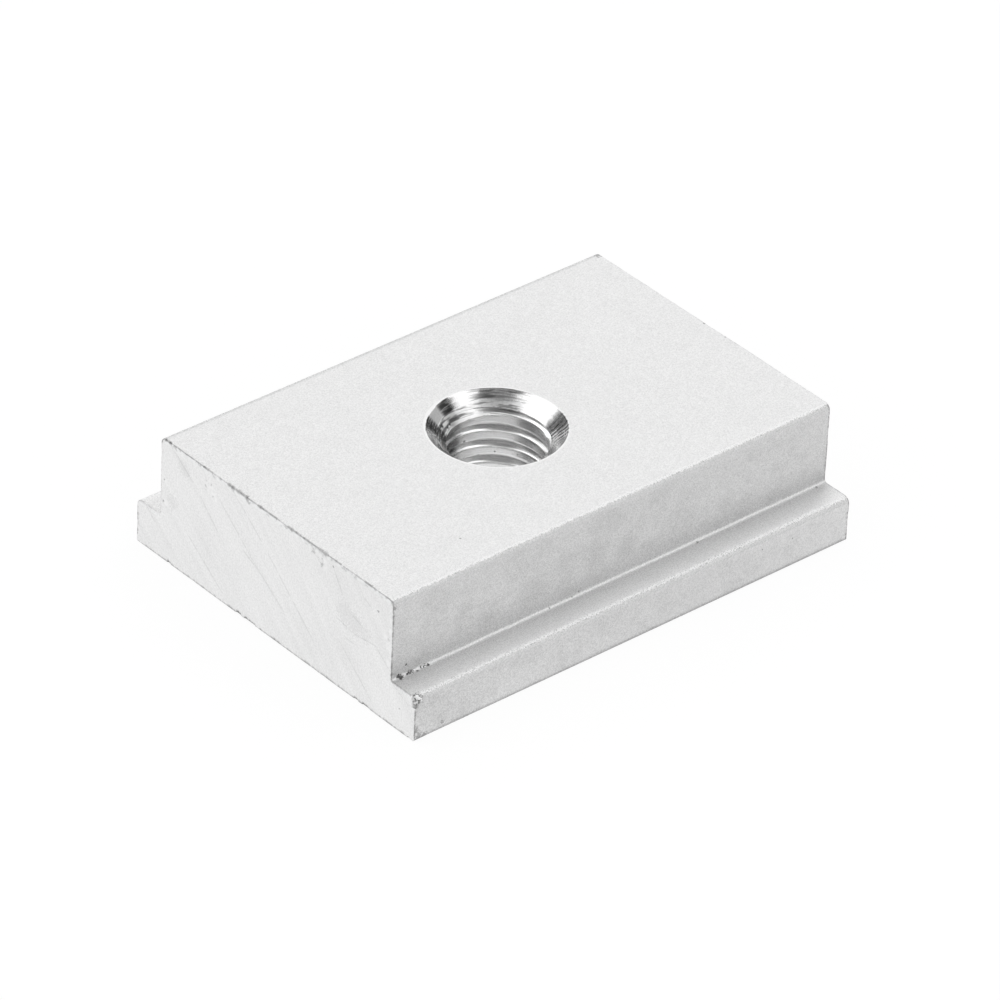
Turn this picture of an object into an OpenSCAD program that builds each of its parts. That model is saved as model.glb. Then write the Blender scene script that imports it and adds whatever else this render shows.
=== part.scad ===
// T slot nut: a short length of extruded T section, sawn off square at both ends,
// with one tapped hole down through it. The wide flange runs under the lips of a
// T track, and the narrower block stands up in the slot between them.
// X runs along the extrusion, Y across it, and the nut rests on Z = 0.
// The origin is the centre of the bottom face. All sizes are in millimetres.

/* [Block] */
// Length of the nut along the track
nut_length = 30; // [12:0.5:80]
// Width of the block that stands in the slot
block_width = 18.9; // [12:0.1:21.5]
// Height over all, from the bottom face to the top of the block
nut_height = 7.6; // [6:0.1:14]
// Radius along the two upper edges of the block
block_edge_radius = 0.35; // [0.1:0.05:1]

/* [Flange] */
// Width of the flange, over both wings
flange_width = 22.8; // [20.5:0.1:32]
// Thickness of the flange
flange_thickness = 2.7; // [1.6:0.1:4]
// Radius along the upper outer edge of each wing
flange_edge_radius = 0.4; // [0.1:0.05:0.7]
// Radius along the two bottom edges
base_edge_radius = 0.1; // [0.05:0.05:0.5]
// Fillet at the root, where the block rises from the flange
root_fillet_radius = 0.2; // [0.05:0.05:0.4]

/* [Tapped hole] */
// Nominal diameter of the thread
thread_diameter = 6; // [4:1:8]
// Pitch of the thread
thread_pitch = 1; // [0.5:0.05:1.25]
// Share of the full thread depth that is left above the drilled bore
thread_share = 0.52; // [0.4:0.02:1]
// How far the countersink's rim lies outside the thread, at the top face
countersink_margin = 0.74; // [0.2:0.01:2]
// How far the rim of the light chamfer below lies outside the thread
exit_margin = 0.15; // [0.05:0.05:1]
// Full angle of the countersink and of the chamfer below
countersink_angle = 90; // [60:1:120]
// How far the hole lies from mid length, along the track
hole_shift_along = -0.46; // [-3:0.01:3]
// How far the hole lies from the centre line, across the track
hole_shift_across = -0.44; // [-2:0.01:2]

/* [Hidden] */
$fn = 96;
// Bead blasted aluminium, left in its own colour
blasted_aluminium = [0.86, 0.87, 0.88];
thread_radius = thread_diameter / 2;
// Depth of a whole thread of 60 degrees, crest to root, with flats of standard width
full_thread_depth = 0.5413 * thread_pitch;
// The crests stand where the drill that goes before the tap has left the wall
bore_radius = thread_radius - thread_share * full_thread_depth;
// Cutting tools start this far outside the metal, so that no skin is left over an opening
overshoot = 1;

// The piece that turns a square outer corner into a round one. The corner lies at the
// origin and the metal in the third quadrant, so the cut covers the corner and beyond.
module corner_cut(radius) {
    difference() {
        translate([-radius, -radius])
            square(radius + overshoot);
        translate([-radius, -radius])
            circle(radius);
    }
}

// The filling of a square inner corner. The corner lies at the origin, with its
// walls along +X and +Y.
module corner_fill(radius) {
    difference() {
        square(radius);
        translate([radius, radius])
            circle(radius);
    }
}

// Draws its children on the right and again as their mirror image on the left
module on_both_sides() {
    children();
    mirror([1, 0])
        children();
}

// Cross-section of the block, from the bottom face up
module block_section() {
    difference() {
        translate([-block_width / 2, 0])
            square([block_width, nut_height]);
        on_both_sides()
            translate([block_width / 2, nut_height])
                corner_cut(block_edge_radius);
    }
}

// Cross-section of the flange, with its soft upper and crisp lower edges
module flange_section() {
    difference() {
        translate([-flange_width / 2, 0])
            square([flange_width, flange_thickness]);
        on_both_sides() {
            translate([flange_width / 2, flange_thickness])
                corner_cut(flange_edge_radius);
            translate([flange_width / 2, 0])
                mirror([0, 1])
                    corner_cut(base_edge_radius);
        }
    }
}

// Whole cross-section of the extrusion
module nut_section() {
    block_section();
    flange_section();
    on_both_sides()
        translate([block_width / 2, flange_thickness])
            corner_fill(root_fillet_radius);
}

// The bar of T section, lying along X and cut off square at both ends
module extruded_bar() {
    translate([-nut_length / 2, 0, 0])
        rotate([90, 0, 90])
            linear_extrude(nut_length)
                nut_section();
}

// A cone about the hole's axis, pointing down, whose radius at Z = 0 is the given rim.
// It ends below at the bore, and goes on opening above Z = 0, outside the metal.
module flare(rim_radius) {
    growth = tan(countersink_angle / 2);
    depth = (rim_radius - bore_radius) / growth;
    translate([0, 0, -depth])
        cylinder(
            h = depth + overshoot,
            r1 = bore_radius,
            r2 = rim_radius + overshoot * growth
        );
}

// Everything that drill and countersink take away, along the hole's own axis
module hole_cut() {
    translate([0, 0, -overshoot])
        cylinder(h = nut_height + 2 * overshoot, r = bore_radius);
    translate([0, 0, nut_height])
        flare(thread_radius + countersink_margin);
    mirror([0, 0, 1])
        flare(thread_radius + exit_margin);
}

module t_slot_nut() {
    color(blasted_aluminium)
        difference() {
            extruded_bar();
            translate([hole_shift_along, hole_shift_across, 0])
                hole_cut();
        }
}

t_slot_nut();
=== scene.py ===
import math
from dataclasses import dataclass
from functools import partialmethod

import bmesh
import bpy
from mathutils import Matrix, Vector, noise


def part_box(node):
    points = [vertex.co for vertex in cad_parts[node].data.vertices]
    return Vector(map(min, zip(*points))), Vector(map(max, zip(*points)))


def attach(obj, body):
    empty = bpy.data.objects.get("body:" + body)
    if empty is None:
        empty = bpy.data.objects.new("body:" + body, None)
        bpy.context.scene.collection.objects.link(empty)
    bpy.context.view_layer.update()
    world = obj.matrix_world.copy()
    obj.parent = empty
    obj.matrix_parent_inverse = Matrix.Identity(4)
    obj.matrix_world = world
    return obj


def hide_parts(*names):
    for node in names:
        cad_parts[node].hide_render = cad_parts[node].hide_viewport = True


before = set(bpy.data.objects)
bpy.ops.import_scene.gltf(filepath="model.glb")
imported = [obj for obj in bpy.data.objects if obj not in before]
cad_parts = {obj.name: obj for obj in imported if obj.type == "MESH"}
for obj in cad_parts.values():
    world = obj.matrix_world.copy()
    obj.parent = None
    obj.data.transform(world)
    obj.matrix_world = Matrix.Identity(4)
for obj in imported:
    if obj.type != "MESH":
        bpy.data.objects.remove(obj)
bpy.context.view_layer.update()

# One T slot nut: a sawn length of bead blasted T section with a tapped, countersunk
# hole. Sizes are in millimetres as on the drawing, and become metres in the meshes.
MM = 0.001
NODE = "t_slot_nut"

# The sizes that the frame gives
low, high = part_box(NODE)
NUT_LENGTH, FLANGE_WIDTH, NUT_HEIGHT = (round(size / MM, 3) for size in high - low)
NEAR_END = -NUT_LENGTH / 2

# The section of the extrusion
BLOCK_WIDTH = 18.9
FLANGE_THICKNESS = 2.7
BLOCK_EDGE_RADIUS = 0.35
FLANGE_EDGE_RADIUS = 0.4
BASE_EDGE_RADIUS = 0.1
ROOT_FILLET_RADIUS = 0.2

# The hole: an M6 coarse thread, right-hand, under a 90 degree countersink
HOLE_X = -0.46
HOLE_Y = -0.44
THREAD_RADIUS = 3.0
PITCH = 1.0
# The crests have the height that the drill before the tap left, as a share of a whole thread's
THREAD_SHARE = 0.52
WHOLE_THREAD_DEPTH = 0.5413 * PITCH
CREST_RADIUS = THREAD_RADIUS - THREAD_SHARE * WHOLE_THREAD_DEPTH
COUNTERSINK_RADIUS = THREAD_RADIUS + 0.74
EXIT_RADIUS = THREAD_RADIUS + 0.15
FLANK_ANGLE = 30
ROOT_FLAT = 0.05
# How far the tap has cut beyond the nominal thread
TAP_OVERSIZE = 0.065
CREST_ROUNDING = 0.1
ROOT_ROUNDING = 0.02
RIM_ROUNDING = 0.06
# How far below a face the rounding of a rim ends
RIM_DROP = RIM_ROUNDING * (1 - math.cos(math.radians(45)))
# How far up the thread starts, as a share of a turn
THREAD_PHASE = 0.16
# How far the tap and the countersink have run off the hole's axis, along X and Y
TAP_RUN_OFF = (0.06, -0.05)
COUNTERSINK_RUN_OFF = (-0.024, 0.016)
# Where the countersink's tool has chattered: heading, how far out, and over how many degrees
COUNTERSINK_BUMPS = [(118, -0.1, 40), (334, 0.07, 45)]

# How finely the mesh is divided: round the hole, which stands in a square window of the bar,
# along the flats, and in the ragged zones at the ends
HOLE_STEPS = 192
WINDOW = 4.8
WINDOW_STEP = 2 * WINDOW / (HOLE_STEPS // 4)
FLAT_STEP = 0.5
RAGGED_STEP = 0.08
RAGGED_DEPTHS = [0, 0.03, 0.06, 0.1, 0.15, 0.22, 0.3]
END_ZONE = 0.5
# What counts as the same place
SLACK = 0.001
# Edges that turn more than this many degrees stay sharp in the shading
SHARP_ANGLE = 35
# How much of a chip's depth goes into each of the two faces that meet at the edge, and how
# high the grit of the torn metal stands
CHIP_SHARE = 0.6
GRIT = 0.006

# The places of the finishes in the mesh's list of materials
BLASTED, SAWN, COUNTERSUNK, TAPPED = range(4)


@dataclass
class Station:
    """A point of the section's outline, with the outward normal there."""

    y: float
    z: float
    normal_y: float
    normal_z: float
    side: str


def even(start, end, step):
    """Evenly spaced values from start up to, but not including, end, about a step apart."""
    count = max(1, round(abs(end - start) / step))
    return [start + (end - start) * i / count for i in range(count)]


def straight(start, end, side, step):
    """The stations of a straight stretch of outline, without its last point."""
    run = Vector(end) - Vector(start)
    normal = Vector((run.y, -run.x)).normalized()
    count = max(1, round(run.length / step))
    points = [Vector(start) + run * i / count for i in range(count)]
    return [Station(*point, *normal, side) for point in points]


def arc(centre, radius, first, last, count, side):
    """The stations of a round edge, or of a root fillet where the radius is negative."""
    stations = []
    for i in range(count):
        angle = math.radians(first + (last - first) * i / count)
        out = Vector((math.cos(angle), math.sin(angle)))
        y, z = centre[0] + radius * out.x, centre[1] + radius * out.y
        stations.append(Station(y, z, *out, side))
    return stations


def flat_with_window(start, end, level, side):
    """A flat stretch along Y whose stations include the sides of the window round the hole."""
    way = 1 if end > start else -1
    first = (HOLE_Y - way * WINDOW, level)
    last = (HOLE_Y + way * WINDOW, level)
    stations = straight((start, level), first, side, FLAT_STEP)
    stations += straight(first, last, side + " window", WINDOW_STEP)
    return stations + straight(last, (end, level), side, FLAT_STEP)


def mirrored(stations):
    """The same stretch on the other side of the centre line, in the outline's own order."""
    return [Station(-s.y, s.z, -s.normal_y, s.normal_z, s.side) for s in reversed(stations)]


def section():
    """The stations of the whole T outline, anticlockwise as seen from +X."""
    edge = FLANGE_WIDTH / 2
    wall = BLOCK_WIDTH / 2
    base_half = edge - BASE_EDGE_RADIUS
    wing_half = edge - FLANGE_EDGE_RADIUS
    root_half = wall + ROOT_FILLET_RADIUS
    top_half = wall - BLOCK_EDGE_RADIUS
    wing_low = FLANGE_THICKNESS - FLANGE_EDGE_RADIUS
    root_level = FLANGE_THICKNESS + ROOT_FILLET_RADIUS
    top_low = NUT_HEIGHT - BLOCK_EDGE_RADIUS
    right = arc((base_half, BASE_EDGE_RADIUS), BASE_EDGE_RADIUS, -90, 0, 3, "base edge")
    right += straight((edge, BASE_EDGE_RADIUS), (edge, wing_low), "wing side", 0.35)
    right += arc((wing_half, wing_low), FLANGE_EDGE_RADIUS, 0, 90, 6, "wing edge")
    right += straight((wing_half, FLANGE_THICKNESS), (root_half, FLANGE_THICKNESS), "wing top", 0.2)
    right += arc((root_half, root_level), -ROOT_FILLET_RADIUS, 90, 0, 4, "root")
    right += straight((wall, root_level), (wall, top_low), "wall", 0.35)
    right += arc((top_half, top_low), BLOCK_EDGE_RADIUS, 0, 90, 6, "block edge")
    # The stretches leave out their last points, which their mirror images then need
    right.append(Station(top_half, NUT_HEIGHT, 0, 1, "block edge"))
    left = mirrored(right)
    bottom = flat_with_window(-base_half, base_half, 0, "bottom")
    top = flat_with_window(top_half, -top_half, NUT_HEIGHT, "top")
    return bottom + right[:-1] + top + left[:-1]


def along_the_bar():
    """The X of each row of the bar's mesh between the end zones, close together at the hole."""
    last = NUT_LENGTH / 2 - END_ZONE
    rows = even(-last, HOLE_X - WINDOW, FLAT_STEP)
    rows += even(HOLE_X - WINDOW, HOLE_X + WINDOW, WINDOW_STEP)
    rows += even(HOLE_X + WINDOW, last, FLAT_STEP)
    return rows + [last]


def refined(stations):
    """The stations with more of them between, for the ragged ends. Also returns how many
    steps lie between each station and the next."""
    fine = []
    counts = []
    for here, there in zip(stations, stations[1:] + stations[:1]):
        gap = math.hypot(there.y - here.y, there.z - here.z)
        count = max(1, round(gap / RAGGED_STEP)) if gap > 1.5 * RAGGED_STEP else 1
        counts.append(count)
        fine.append(here)
        for i in range(1, count):
            share = i / count
            y = here.y + (there.y - here.y) * share
            z = here.z + (there.z - here.z) * share
            fine.append(Station(y, z, here.normal_y, here.normal_z, here.side))
    return fine, counts


def in_window(station, x):
    """Whether the mesh cell that starts at a station and a row lies in the hole's window."""
    along = HOLE_X - WINDOW - SLACK < x < HOLE_X + WINDOW - SLACK
    return along and station.side.endswith("window")


def add_bar(mesh, stations, rows):
    """The long walls of the bar, open at the ends and round the hole. Returns its vertices."""
    grid = [[mesh.verts.new((x, s.y, s.z)) for x in rows] for s in stations]
    for i, station in enumerate(stations):
        here = grid[i]
        there = grid[(i + 1) % len(stations)]
        for k in range(len(rows) - 1):
            if not in_window(station, rows[k]):
                mesh.faces.new((here[k], here[k + 1], there[k + 1], there[k]))
    return grid


@dataclass
class Wear:
    """What the saw has left at a place on the edge of an end, in millimetres, with painted crevice
    shade.
    """

    chip: float
    burr: float
    grime: float
    width: float
    # How wide the painted crevice shade and swarf are on the sawn face, as a share of their width
    # on the bar's side
    end_share: float = 1


# Stretches of the near sawn end's upper edge: from and to where across the nut, how wide
# the torn line is and how dark its swarf and painted crevice shade make it
TORN_TOP_EDGE = [
    (9.45, 8.6, 0.07, 0.75), (8.6, 6.0, 0.035, 0.55), (6.0, 5.65, 0.06, 0.7),
    (5.5, 5.15, 0.05, 0.5), (4.8, 4.6, 0.06, 0.3), (4.55, 4.0, 0.03, 0.4),
    (3.98, 2.3, 0.11, 0.6), (2.3, 1.55, 0.04, 0.5), (1.55, 1.1, 0.1, 0.6),
    (1.1, -0.1, 0.06, 0.6), (-0.1, -0.95, 0.035, 0.4), (-1.1, -1.85, 0.09, 0.5),
    (-2.0, -3.5, 0.07, 0.6), (-3.5, -4.25, 0.1, 0.55), (-4.25, -5.3, 0.05, 0.5),
    (-5.5, -7.1, 0.035, 0.35), (-7.1, -7.8, 0.06, 0.6), (-7.8, -9.4, 0.035, 0.5),
]
# Nicks in the near end's bottom edge: from and to where across the nut
BOTTOM_NICKS = [(3.05, 2.6), (2.3, 1.45), (-6.6, -7.0), (-7.3, -7.9), (8.8, 8.5), (-10.9, -11.3)]


def ramp(value, start, end):
    """How far a value is on its way from start to end, from 0 to 1."""
    return min(1, max(0, (value - start) / (end - start)))


def rough(place, size, seed):
    """Smooth noise from -1 to 1 at a place, whose bumps are about as large as size."""
    return noise.noise(Vector(place) / size + Vector((seed, 7.3 * seed, 3.1)))


def edge_wear(station, facing):
    """The wear, with painted crevice shade, on the edge of the near end (facing -1) or of the far
    end (facing 1).
    """
    place = (station.y, station.z, 20 * facing)
    torn = rough(place, 0.9, 1) + 0.5 * rough(place, 0.25, 2)
    flicker = 1 + 0.5 * rough(place, 0.17, 7) + 0.4 * rough(place, 0.08, 11)
    wear = Wear(
        chip=0.02 + 0.04 * ramp(torn, 0.1, 0.7),
        burr=0.018 * ramp(rough(place, 1.6, 3) + 0.4 * rough(place, 0.2, 4), -0.1, 0.6),
        grime=(0.3 + 0.3 * ramp(rough(place, 0.7, 5), -0.4, 0.6)) * flicker,
        width=(0.05 + 0.04 * ramp(torn, -0.2, 0.8)) * flicker,
    )
    near = facing < 0
    # Along the bottom edge: painted contact shade and swarf, darkest in the nicks
    if station.z < BASE_EDGE_RADIUS:
        wear.burr = 0
        wear.chip *= 0.4
        wear.width *= 1.7
        wear.grime = 0.5 * flicker
        for start, end in BOTTOM_NICKS:
            if near and end <= station.y <= start:
                wear.grime = 0.8 * flicker
                wear.width = 0.14 * flicker
                wear.chip = 0.08 * flicker
    elif station.z > NUT_HEIGHT - BLOCK_EDGE_RADIUS / 2:
        if not near:
            wear.grime *= 0.3
        for start, end, width, grime in TORN_TOP_EDGE:
            if near and end <= station.y <= start:
                wear.grime = 1.1 * grime * flicker
                wear.width = width * (1 + 0.7 * rough(place, 0.2, 8)) + 0.01
                wear.chip = 0.7 * wear.width
    elif station.side == "block edge":
        wear.grime = 0.75 * flicker
        wear.width = 0.07 * flicker
    elif near and station.y > 0:
        if station.side == "wing side":
            wear.width *= 1.9
        else:
            wear.grime *= 0.5 * flicker
    elif station.side in ("wall", "wing side"):
        wear.grime = 0.55 * flicker
        wear.width = 0.085 * flicker
        wear.end_share = 0.35
        if near:
            wear.chip += 0.04 * ramp(rough(place, 0.2, 13), 0, 0.5)
            wear.burr = 0.05 * ramp(rough(place, 0.16, 14), 0, 0.5)
    elif station.side == "wing edge":
        wear.grime = 0.6 * flicker
        if near:
            # A shiny burr on the corner of the flange
            wear.burr = 0.08 + 0.07 * rough(place, 0.12, 4)
            wear.grime = 0.9 * ramp(rough(place, 0.1, 5), 0, 0.2)
            wear.width = 0.2
    if near and station.side == "block edge" and station.y < 0:
        # A burr squares the rounded corner off
        corner = max(abs(station.normal_y), abs(station.normal_z))
        wear.burr = 0.95 * BLOCK_EDGE_RADIUS * (1 / corner - 1)
        wear.chip = 0
        wear.grime = 0.6 * flicker
        wear.width = 0.05
    return wear


def end_reach(station):
    """How deep the ragged zone goes into an end at a station, as a share of its full depth.
    It is shallow near the bottom edges, whose radius is smaller than the zone is deep."""
    away = math.hypot(FLANGE_WIDTH / 2 - abs(station.y), station.z)
    return 0.25 + 0.75 * ramp(away, 0.1, 0.8)


def worn(station, x, distance, facing, on_end, wear):
    """The place of a point near the edge of an end, at a distance from the edge along the
    bar's side or, with on_end, across the end."""
    fade = 1 - ramp(distance, 0, 1.6 * wear.width)
    into = wear.chip * fade * fade
    side_share = CHIP_SHARE if distance == 0 or not on_end else 0
    end_share = CHIP_SHARE if distance == 0 or on_end else 0
    lift = wear.burr * (1 - ramp(distance, 0.02, 0.08))
    out = lift * (0.25 if on_end and distance > 0 else 1) - into * side_share
    # The grit dies out away from the edge
    grit = GRIT * rough((x, station.y, station.z), 0.09, 9) * (1 - ramp(distance, 0.05, 0.3))
    out += grit
    inset = distance * end_reach(station) if on_end else 0
    y = station.y + station.normal_y * (out - inset)
    z = station.z + station.normal_z * (out - inset)
    return (x - facing * (into * end_share + grit), y, max(0, z))


def add_end(mesh, stations, counts, rim, facing):
    """One end of the bar: the ragged zone along its edge, and the sawn face."""
    grime = mesh.verts.layers.float["grime"]
    end_x = facing * NUT_LENGTH / 2
    wears = [edge_wear(station, facing) for station in stations]
    rings = []
    for on_end, distances in ((False, RAGGED_DEPTHS[::-1]), (True, RAGGED_DEPTHS[1:])):
        for distance in distances:
            x = end_x if on_end else end_x - facing * distance
            ring = []
            for station, wear in zip(stations, wears):
                vertex = mesh.verts.new(worn(station, x, distance, facing, on_end, wear))
                reach = wear.width * (wear.end_share if on_end else 1)
                # Painted crevice shade and swarf, fading out away from the edge
                vertex[grime] = wear.grime * (1 - ramp(distance, 0.5 * reach, 1.3 * reach))
                ring.append(vertex)
            rings.append(ring)
    # The zone joins the bar's coarser rows, with one face for each of their steps
    first = 0
    for i, count in enumerate(counts):
        fine = [rings[0][(first + n) % len(stations)] for n in range(count + 1)]
        mesh.faces.new([rim[(i + 1) % len(rim)], rim[i]] + fine)
        first += count
    sides = len(RAGGED_DEPTHS) - 1
    for n, (outer, inner) in enumerate(zip(rings, rings[1:])):
        for i in range(len(stations)):
            j = (i + 1) % len(stations)
            face = mesh.faces.new((outer[i], outer[j], inner[j], inner[i]))
            face.material_index = BLASTED if n < sides else SAWN
    mesh.faces.new(rings[-1]).material_index = SAWN


def around_hole(step):
    """The direction, as seen from above, of one of the hole's columns. The first four
    quarters of the columns meet the corners of the window."""
    return math.radians(-135 + 360 * step / HOLE_STEPS)


def window_edge(grid, stations, rows, level):
    """The vertices along the window's sides, in the order of the hole's columns."""
    ring = []
    for station, column in zip(stations, grid):
        if abs(station.z - level) > SLACK:
            continue
        across = station.y - HOLE_Y
        for x, vertex in zip(rows, column):
            along = x - HOLE_X
            if abs(max(abs(along), abs(across)) - WINDOW) < SLACK:
                turn = math.atan2(across, along) - around_hole(0)
                ring.append(((turn + SLACK / 10) % math.tau, vertex))
    ring.sort(key=lambda entry: entry[0])
    return [vertex for _, vertex in ring]


def thread_corners():
    """The corners of one turn of the thread, as (height, radius) from the middle of a crest."""
    root_radius = THREAD_RADIUS + TAP_OVERSIZE
    run = (root_radius - CREST_RADIUS) * math.tan(math.radians(FLANK_ANGLE))
    crest_half = (PITCH - ROOT_FLAT) / 2 - run
    root_half = ROOT_FLAT / 2
    return [
        (crest_half, CREST_RADIUS),
        (PITCH / 2 - root_half, root_radius),
        (PITCH / 2 + root_half, root_radius),
        (PITCH - crest_half, CREST_RADIUS),
    ]


def thread_profile():
    """The points of one turn of the thread, as (height, radius), with its corners rounded off."""
    corners = [Vector(c) for c in thread_corners()]
    lead = corners[-1] - Vector((PITCH, 0))
    follow = corners[0] + Vector((PITCH, 0))
    chain = [lead] + corners + [follow]
    points = []
    for before, corner, after in zip(chain, chain[1:], chain[2:]):
        rounding = CREST_ROUNDING if corner.y < THREAD_RADIUS - 0.1 else ROOT_ROUNDING
        start = corner + (before - corner).normalized() * rounding
        end = corner + (after - corner).normalized() * rounding
        for t in (0, 1 / 3, 2 / 3, 1):
            points.append(start * (1 - t) ** 2 + corner * 2 * t * (1 - t) + end * t**2)
        gap = after - corner
        if gap.length > 3 * CREST_ROUNDING:
            points += [corner + gap * share for share in (0.3, 0.5, 0.7)]
    return points


def run_off(step, shift):
    """How much further from the hole's axis a cut lies at a column, when its tool has
    run off the axis by a small shift."""
    angle = around_hole(step)
    return shift[0] * math.cos(angle) + shift[1] * math.sin(angle)


def rim_unevenness(step):
    """How much further out the countersink lies at a column, because its tool chattered."""
    angle = math.degrees(around_hole(step))
    out = 0
    for heading, reach, width in COUNTERSINK_BUMPS:
        share = ramp(abs((angle - heading + 180) % 360 - 180), 0, width)
        out += reach * (1 - share) ** 2 * (1 + 2 * share)
    return out


def countersunk(step, radius):
    """The countersink's radius at a column, with the run-off and unevenness of its cut."""
    return radius + run_off(step, COUNTERSINK_RUN_OFF) + rim_unevenness(step)


def flare_radius(step, z):
    """The radius of the countersink or of the chamfer below at a height. Where the hole
    is straight, this is less than the bore."""
    return max(countersunk(step, COUNTERSINK_RADIUS) - (NUT_HEIGHT - z), EXIT_RADIUS - z)


def hole_column(step, profile):
    """The (height, radius) points of one column of the hole's wall, from below to above.
    The thread climbs one pitch in each turn round the hole."""
    climb = PITCH * (around_hole(step) / math.tau + THREAD_PHASE)
    shift = run_off(step, TAP_RUN_OFF)
    points = []
    for turn in range(-1, math.ceil(NUT_HEIGHT / PITCH) + 2):
        for height, radius in profile:
            points.append([height + PITCH * turn + climb, radius + shift])
    meet_the_flares(step, points)
    for point in points:
        point[1] = max(point[1], flare_radius(step, point[0]))
    return points


def meet_the_flares(step, points):
    """Moves the points that are nearest to where the thread runs out into a flare onto
    those places."""
    for j in range(len(points) - 1):
        (z0, r0), (z1, r1) = points[j], points[j + 1]
        gap0 = r0 - flare_radius(step, z0)
        gap1 = r1 - flare_radius(step, z1)
        if gap0 * gap1 < 0:
            share = gap0 / (gap0 - gap1)
            nearest = j if share < 0.5 else j + 1
            points[nearest][0] = z0 + (z1 - z0) * share
            points[nearest][1] = r0 + (r1 - r0) * share


def hole_point(step, radius, z):
    """The place of a point of the hole's wall."""
    angle = around_hole(step)
    return (HOLE_X + radius * math.cos(angle), HOLE_Y + radius * math.sin(angle), z)


def add_ring(mesh, radius, z, upper):
    """A ring of vertices round the hole. The upper ones follow the countersink's cut."""
    radii = [countersunk(step, radius) if upper else radius for step in range(HOLE_STEPS)]
    return [mesh.verts.new(hole_point(step, out, z)) for step, out in enumerate(radii)]


def join_rings(mesh, lower, upper, material):
    """The faces between two rings round the hole, facing the hole's axis or upward."""
    for i in range(HOLE_STEPS):
        j = (i + 1) % HOLE_STEPS
        face = mesh.faces.new((lower[i], upper[i], upper[j], lower[j]))
        face.material_index = material


def add_threaded_wall(mesh):
    """The tapped wall with its two flares. Returns the rings at its lower and upper end."""
    profile = thread_profile()
    top = NUT_HEIGHT - RIM_DROP
    lower = add_ring(mesh, EXIT_RADIUS - RIM_DROP, RIM_DROP, False)
    upper = add_ring(mesh, COUNTERSINK_RADIUS - RIM_DROP, top, True)
    columns = []
    for step in range(HOLE_STEPS):
        column = []
        for z, radius in hole_column(step, profile):
            if z < RIM_DROP + 4 * SLACK:
                column.append(lower[step])
            elif z > top - 4 * SLACK:
                column.append(upper[step])
            else:
                column.append(mesh.verts.new(hole_point(step, radius, z)))
        columns.append(column)
    for i in range(HOLE_STEPS):
        here = columns[i]
        # One turn further round, the same strand of the thread lies one pitch higher
        shift = len(profile) if i == HOLE_STEPS - 1 else 0
        there = columns[(i + 1) % HOLE_STEPS]
        for j in range(len(here) - 1 - shift):
            corners = [here[j], here[j + 1], there[j + 1 + shift], there[j + shift]]
            add_face_once(mesh, corners, wall_finish(i, corners))
    return lower, upper


def wall_finish(step, corners):
    """The finish of a face of the hole's wall: countersunk on the flares, or else tapped."""
    middle = sum((v.co for v in corners), Vector()) / len(corners)
    radius = math.hypot(middle.x - HOLE_X, middle.y - HOLE_Y)
    return COUNTERSUNK if radius < flare_radius(step, middle.z) + 0.01 else TAPPED


def add_face_once(mesh, corners, material):
    """A face whose repeated corners are left out, or none if fewer than three remain."""
    kept = list(dict.fromkeys(corners))
    if len(kept) > 2:
        mesh.faces.new(kept).material_index = material


def add_mouth(mesh, wall_ring, window_ring, rim_radius, level, up):
    """The rounded rim of the hole and the flat round it, out to the window in the bar."""
    rings = [wall_ring]
    inner = rim_radius + RIM_ROUNDING * math.tan(math.radians(22.5))
    centre_z = level - up * RIM_ROUNDING
    for angle in (30, 15, 0):
        out = inner - RIM_ROUNDING * math.sin(math.radians(angle))
        rise = RIM_ROUNDING * math.cos(math.radians(angle))
        rings.append(add_ring(mesh, out, centre_z + up * rise, up > 0))
    for margin in (0.03, 0.08, 0.18, 0.35):
        rings.append(add_ring(mesh, inner + margin, level, up > 0))
    last = rings[-1]
    for share in (0.33, 0.67):
        rings.append([mesh.verts.new(a.co.lerp(b.co, share)) for a, b in zip(last, window_ring)])
    rings.append(window_ring)
    for n, pair in enumerate(zip(rings, rings[1:])):
        join_rings(mesh, *pair[::up], COUNTERSUNK if n < 3 else BLASTED)


def build_nut_mesh():
    """The whole nut as one closed mesh, in millimetres."""
    mesh = bmesh.new()
    mesh.verts.layers.float.new("grime")
    stations = section()
    rows = along_the_bar()
    grid = add_bar(mesh, stations, rows)
    fine_stations, counts = refined(stations)
    add_end(mesh, fine_stations, counts, [column[0] for column in grid], -1)
    add_end(mesh, fine_stations, counts, [column[-1] for column in grid], 1)
    lower, upper = add_threaded_wall(mesh)
    for ring, rim_radius, level, up in (
        (upper, COUNTERSINK_RADIUS, NUT_HEIGHT, 1),
        (lower, EXIT_RADIUS, 0, -1),
    ):
        add_mouth(mesh, ring, window_edge(grid, stations, rows, level), rim_radius, level, up)
    # No face uses the vertices inside the windows
    loose = [v for v in mesh.verts if not v.link_faces]
    bmesh.ops.delete(mesh, geom=loose, context="VERTS")
    bmesh.ops.recalc_face_normals(mesh, faces=mesh.faces)
    return mesh


def feed(socket, value):
    """Gives a socket a fixed value, or links it to a value that nodes work out."""
    if isinstance(value, Value):
        value.tree.links.new(value.socket, socket)
    else:
        socket.default_value = value


def add_node(tree, kind, inputs=None, **settings):
    """A shader node, with its settings and, by name or by number, its inputs."""
    node = tree.nodes.new("ShaderNode" + kind)
    for name, value in settings.items():
        setattr(node, name, value)
    for name, value in (inputs or {}).items():
        feed(node.inputs[name], value)
    return node


def work_out(tree, kind, output, inputs=None, **settings):
    """What a new shader node gives out."""
    return Value(tree, add_node(tree, kind, inputs, **settings).outputs[output])


def maths(tree, operation, *values, clamp=False):
    """A Math node's result, from numbers and from values."""
    inputs = dict(enumerate(values))
    return work_out(tree, "Math", "Value", inputs, operation=operation, use_clamp=clamp)


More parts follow.
